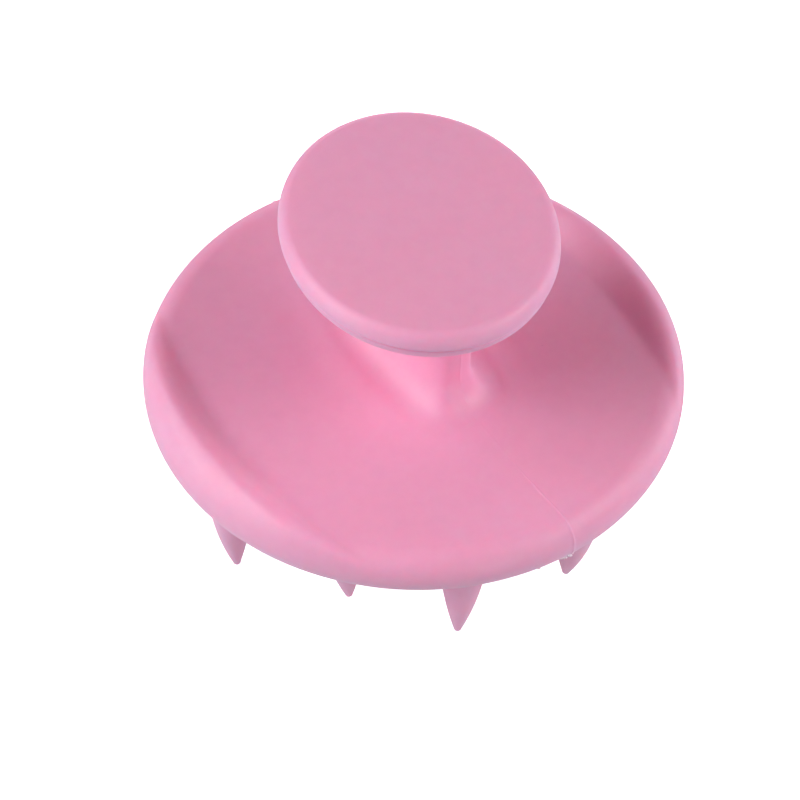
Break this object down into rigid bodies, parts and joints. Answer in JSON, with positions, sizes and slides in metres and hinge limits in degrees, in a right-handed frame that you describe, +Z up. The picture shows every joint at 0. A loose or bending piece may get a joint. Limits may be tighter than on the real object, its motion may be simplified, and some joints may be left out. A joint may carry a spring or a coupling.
{
  "type": "scalp massager brush",
  "caption": "Soft silicone shampoo and scalp massage brush: a round dish with finger channels, a neck and palm knob above, and flexible tapered tines below.",
  "frame": {"origin": "on the plane of the long tines' tips, under the middle of the dish", "axes": "+Z up out of the knob's flat top; Y along the finger channels and the neck's blade, with the pictured end at -Y; X across the channels, through the two raised lobes"},
  "size_m": [0.084, 0.084, 0.0518],
  "materials": {
    "body_silicone": "satin",
    "knob_silicone": "satin",
    "tine_silicone": "satin"
  },
  "bodies": {
    "brush": {"finger_dish": "body_silicone", "neck": "body_silicone", "knob_base": "body_silicone", "knob_cap": "knob_silicone", "tine_plate": "tine_silicone"},
    "outer_tine_01": {"outer_tine_01": "tine_silicone"},
    "outer_tine_02": {"outer_tine_02": "tine_silicone"},
    "outer_tine_03": {"outer_tine_03": "tine_silicone"},
    "outer_tine_04": {"outer_tine_04": "tine_silicone"},
    "outer_tine_05": {"outer_tine_05": "tine_silicone"},
    "outer_tine_06": {"outer_tine_06": "tine_silicone"},
    "outer_tine_07": {"outer_tine_07": "tine_silicone"},
    "outer_tine_08": {"outer_tine_08": "tine_silicone"},
    "outer_tine_09": {"outer_tine_09": "tine_silicone"},
    "outer_tine_10": {"outer_tine_10": "tine_silicone"},
    "outer_tine_11": {"outer_tine_11": "tine_silicone"},
    "outer_tine_12": {"outer_tine_12": "tine_silicone"},
    "middle_tine_01": {"middle_tine_01": "tine_silicone"},
    "middle_tine_02": {"middle_tine_02": "tine_silicone"},
    "middle_tine_03": {"middle_tine_03": "tine_silicone"},
    "middle_tine_04": {"middle_tine_04": "tine_silicone"},
    "middle_tine_05": {"middle_tine_05": "tine_silicone"},
    "middle_tine_06": {"middle_tine_06": "tine_silicone"},
    "middle_tine_07": {"middle_tine_07": "tine_silicone"},
    "middle_tine_08": {"middle_tine_08": "tine_silicone"},
    "inner_tine_01": {"inner_tine_01": "tine_silicone"},
    "inner_tine_02": {"inner_tine_02": "tine_silicone"},
    "inner_tine_03": {"inner_tine_03": "tine_silicone"},
    "inner_tine_04": {"inner_tine_04": "tine_silicone"},
    "centre_tine": {"centre_tine": "tine_silicone"}
  },
  "joints": [
    {"name": "outer_tine_01_bend", "type": "hinge", "parent": "brush", "child": "outer_tine_01", "pos_m": [0.03608, 0.00481, 0.015], "axis": [0.1323, -0.9912, 0], "range_deg": [-18, 18], "stiffness_Nm_per_rad": 0.006},
    {"name": "outer_tine_02_bend", "type": "hinge", "parent": "brush", "child": "outer_tine_02", "pos_m": [0.02583, 0.01989, 0.015], "axis": [0.6101, -0.7923, 0], "range_deg": [-18, 18], "stiffness_Nm_per_rad": 0.006},
    {"name": "outer_tine_03_bend", "type": "hinge", "parent": "brush", "child": "outer_tine_03", "pos_m": [0.01387, 0.03365, 0.015], "axis": [0.9245, -0.3811, 0], "range_deg": [-18, 18], "stiffness_Nm_per_rad": 0.006},
    {"name": "outer_tine_04_bend", "type": "hinge", "parent": "brush", "child": "outer_tine_04", "pos_m": [-0.00481, 0.03608, 0.015], "axis": [0.9912, 0.1323, 0], "range_deg": [-18, 18], "stiffness_Nm_per_rad": 0.006},
    {"name": "outer_tine_05_bend", "type": "hinge", "parent": "brush", "child": "outer_tine_05", "pos_m": [-0.01989, 0.02583, 0.015], "axis": [0.7923, 0.6101, 0], "range_deg": [-18, 18], "stiffness_Nm_per_rad": 0.006},
    {"name": "outer_tine_06_bend", "type": "hinge", "parent": "brush", "child": "outer_tine_06", "pos_m": [-0.03365, 0.01387, 0.015], "axis": [0.3811, 0.9245, 0], "range_deg": [-18, 18], "stiffness_Nm_per_rad": 0.006},
    {"name": "outer_tine_07_bend", "type": "hinge", "parent": "brush", "child": "outer_tine_07", "pos_m": [-0.03608, -0.00481, 0.015], "axis": [-0.1323, 0.9912, 0], "range_deg": [-18, 18], "stiffness_Nm_per_rad": 0.006},
    {"name": "outer_tine_08_bend", "type": "hinge", "parent": "brush", "child": "outer_tine_08", "pos_m": [-0.02583, -0.01989, 0.015], "axis": [-0.6101, 0.7923, 0], "range_deg": [-18, 18], "stiffness_Nm_per_rad": 0.006},
    {"name": "outer_tine_09_bend", "type": "hinge", "parent": "brush", "child": "outer_tine_09", "pos_m": [-0.01387, -0.03365, 0.015], "axis": [-0.9245, 0.3811, 0], "range_deg": [-18, 18], "stiffness_Nm_per_rad": 0.006},
    {"name": "outer_tine_10_bend", "type": "hinge", "parent": "brush", "child": "outer_tine_10", "pos_m": [0.00481, -0.03608, 0.015], "axis": [-0.9912, -0.1323, 0], "range_deg": [-18, 18], "stiffness_Nm_per_rad": 0.006},
    {"name": "outer_tine_11_bend", "type": "hinge", "parent": "brush", "child": "outer_tine_11", "pos_m": [0.01989, -0.02583, 0.015], "axis": [-0.7923, -0.6101, 0], "range_deg": [-18, 18], "stiffness_Nm_per_rad": 0.006},
    {"name": "outer_tine_12_bend", "type": "hinge", "parent": "brush", "child": "outer_tine_12", "pos_m": [0.03365, -0.01387, 0.015], "axis": [-0.3811, -0.9245, 0], "range_deg": [-18, 18], "stiffness_Nm_per_rad": 0.006},
    {"name": "middle_tine_01_bend", "type": "hinge", "parent": "brush", "child": "middle_tine_01", "pos_m": [0.02059, 0.01194, 0.015], "axis": [0.5015, -0.8652, 0], "range_deg": [-18, 18], "stiffness_Nm_per_rad": 0.006},
    {"name": "middle_tine_02_bend", "type": "hinge", "parent": "brush", "child": "middle_tine_02", "pos_m": [0.00612, 0.023, 0.015], "axis": [0.9664, -0.2571, 0], "range_deg": [-18, 18], "stiffness_Nm_per_rad": 0.006},
    {"name": "middle_tine_03_bend", "type": "hinge", "parent": "brush", "child": "middle_tine_03", "pos_m": [-0.01194, 0.02059, 0.015], "axis": [0.8652, 0.5015, 0], "range_deg": [-18, 18], "stiffness_Nm_per_rad": 0.006},
    {"name": "middle_tine_04_bend", "type": "hinge", "parent": "brush", "child": "middle_tine_04", "pos_m": [-0.023, 0.00612, 0.015], "axis": [0.2571, 0.9664, 0], "range_deg": [-18, 18], "stiffness_Nm_per_rad": 0.006},
    {"name": "middle_tine_05_bend", "type": "hinge", "parent": "brush", "child": "middle_tine_05", "pos_m": [-0.02059, -0.01194, 0.015], "axis": [-0.5015, 0.8652, 0], "range_deg": [-18, 18], "stiffness_Nm_per_rad": 0.006},
    {"name": "middle_tine_06_bend", "type": "hinge", "parent": "brush", "child": "middle_tine_06", "pos_m": [-0.00612, -0.023, 0.015], "axis": [-0.9664, 0.2571, 0], "range_deg": [-18, 18], "stiffness_Nm_per_rad": 0.006},
    {"name": "middle_tine_07_bend", "type": "hinge", "parent": "brush", "child": "middle_tine_07", "pos_m": [0.01194, -0.02059, 0.015], "axis": [-0.8652, -0.5015, 0], "range_deg": [-18, 18], "stiffness_Nm_per_rad": 0.006},
    {"name": "middle_tine_08_bend", "type": "hinge", "parent": "brush", "child": "middle_tine_08", "pos_m": [0.023, -0.00612, 0.015], "axis": [-0.2571, -0.9664, 0], "range_deg": [-18, 18], "stiffness_Nm_per_rad": 0.006},
    {"name": "inner_tine_01_bend", "type": "hinge", "parent": "brush", "child": "inner_tine_01", "pos_m": [0.00729, 0.00953, 0.015], "axis": [0.7944, -0.6074, 0], "range_deg": [-18, 18], "stiffness_Nm_per_rad": 0.006},
    {"name": "inner_tine_02_bend", "type": "hinge", "parent": "brush", "child": "inner_tine_02", "pos_m": [-0.00953, 0.00729, 0.015], "axis": [0.6074, 0.7944, 0], "range_deg": [-18, 18], "stiffness_Nm_per_rad": 0.006},
    {"name": "inner_tine_03_bend", "type": "hinge", "parent": "brush", "child": "inner_tine_03", "pos_m": [-0.00729, -0.00953, 0.015], "axis": [-0.7944, 0.6074, 0], "range_deg": [-18, 18], "stiffness_Nm_per_rad": 0.006},
    {"name": "inner_tine_04_bend", "type": "hinge", "parent": "brush", "child": "inner_tine_04", "pos_m": [0.00953, -0.00729, 0.015], "axis": [-0.6074, -0.7944, 0], "range_deg": [-18, 18], "stiffness_Nm_per_rad": 0.006},
    {"name": "centre_tine_bend", "type": "hinge", "parent": "brush", "child": "centre_tine", "pos_m": [0, 0, 0.015], "axis": [0, -1, 0], "range_deg": [-18, 18], "stiffness_Nm_per_rad": 0.006}
  ]
}
